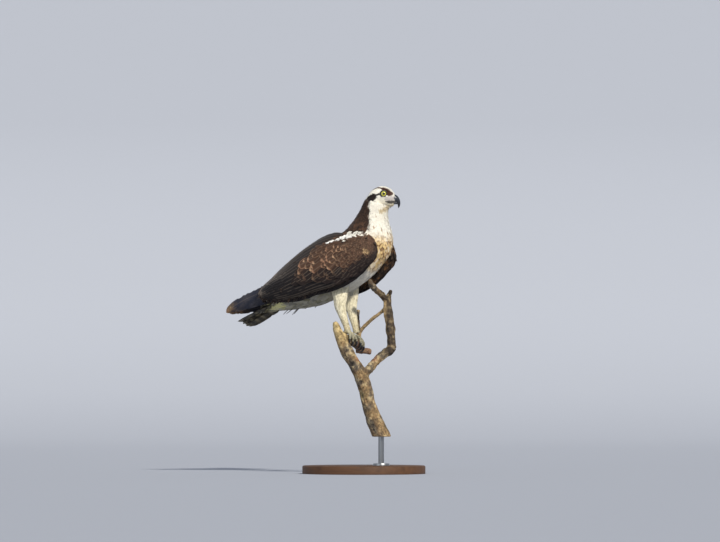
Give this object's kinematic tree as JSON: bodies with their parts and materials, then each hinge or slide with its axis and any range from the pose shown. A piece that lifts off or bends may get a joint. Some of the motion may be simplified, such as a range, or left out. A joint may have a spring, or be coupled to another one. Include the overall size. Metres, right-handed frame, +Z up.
{
  "type": "osprey",
  "caption": "Life-size osprey, still, perched side-on on a cut length of dead forked branch held up by a flat round base and a rod",
  "frame": {"origin": "middle of the underside of the stand's round base", "axes": "+Z up, the bird's body heads +X with its right side towards -Y, mm in the parts and metres in the record"},
  "size_m": [0.524, 0.3, 0.7018],
  "materials": {
    "dark_feather": "satin",
    "pale_feather": "matt",
    "foot_scales": "matt",
    "claw": "gloss",
    "bill": "gloss",
    "eye": "gloss",
    "dead_wood": "matt",
    "stand_wood": "satin",
    "stand_steel": "satin"
  },
  "bodies": {
    "root": {"bill_lower": "bill", "bill_upper": "bill", "claw_left_hind": "claw", "claw_left_inner": "claw", "claw_left_middle": "claw", "claw_left_outer": "claw", "claw_right_hind": "claw", "claw_right_inner": "claw", "claw_right_middle": "claw", "claw_right_outer": "claw", "eye_left": "eye", "eye_right": "eye", "foot_left": "foot_scales", "foot_right": "foot_scales", "head": "pale_feather", "neck": "pale_feather", "perch_arm": "dead_wood", "perch_limb_lower": "dead_wood", "perch_limb_upper": "dead_wood", "perch_peg": "dead_wood", "perch_rung": "dead_wood", "perch_spur": "dead_wood", "perch_stem": "dead_wood", "perch_twig": "dead_wood", "primaries_left": "dark_feather", "primaries_right": "dark_feather", "stand_base": "stand_wood", "stand_collar": "stand_steel", "stand_rod": "stand_steel", "tail": "dark_feather", "tarsus_left": "pale_feather", "tarsus_right": "pale_feather", "thigh_left": "pale_feather", "thigh_right": "pale_feather", "trunk": "pale_feather", "wing_left": "dark_feather", "wing_right": "dark_feather"}
  },
  "joints": []
}
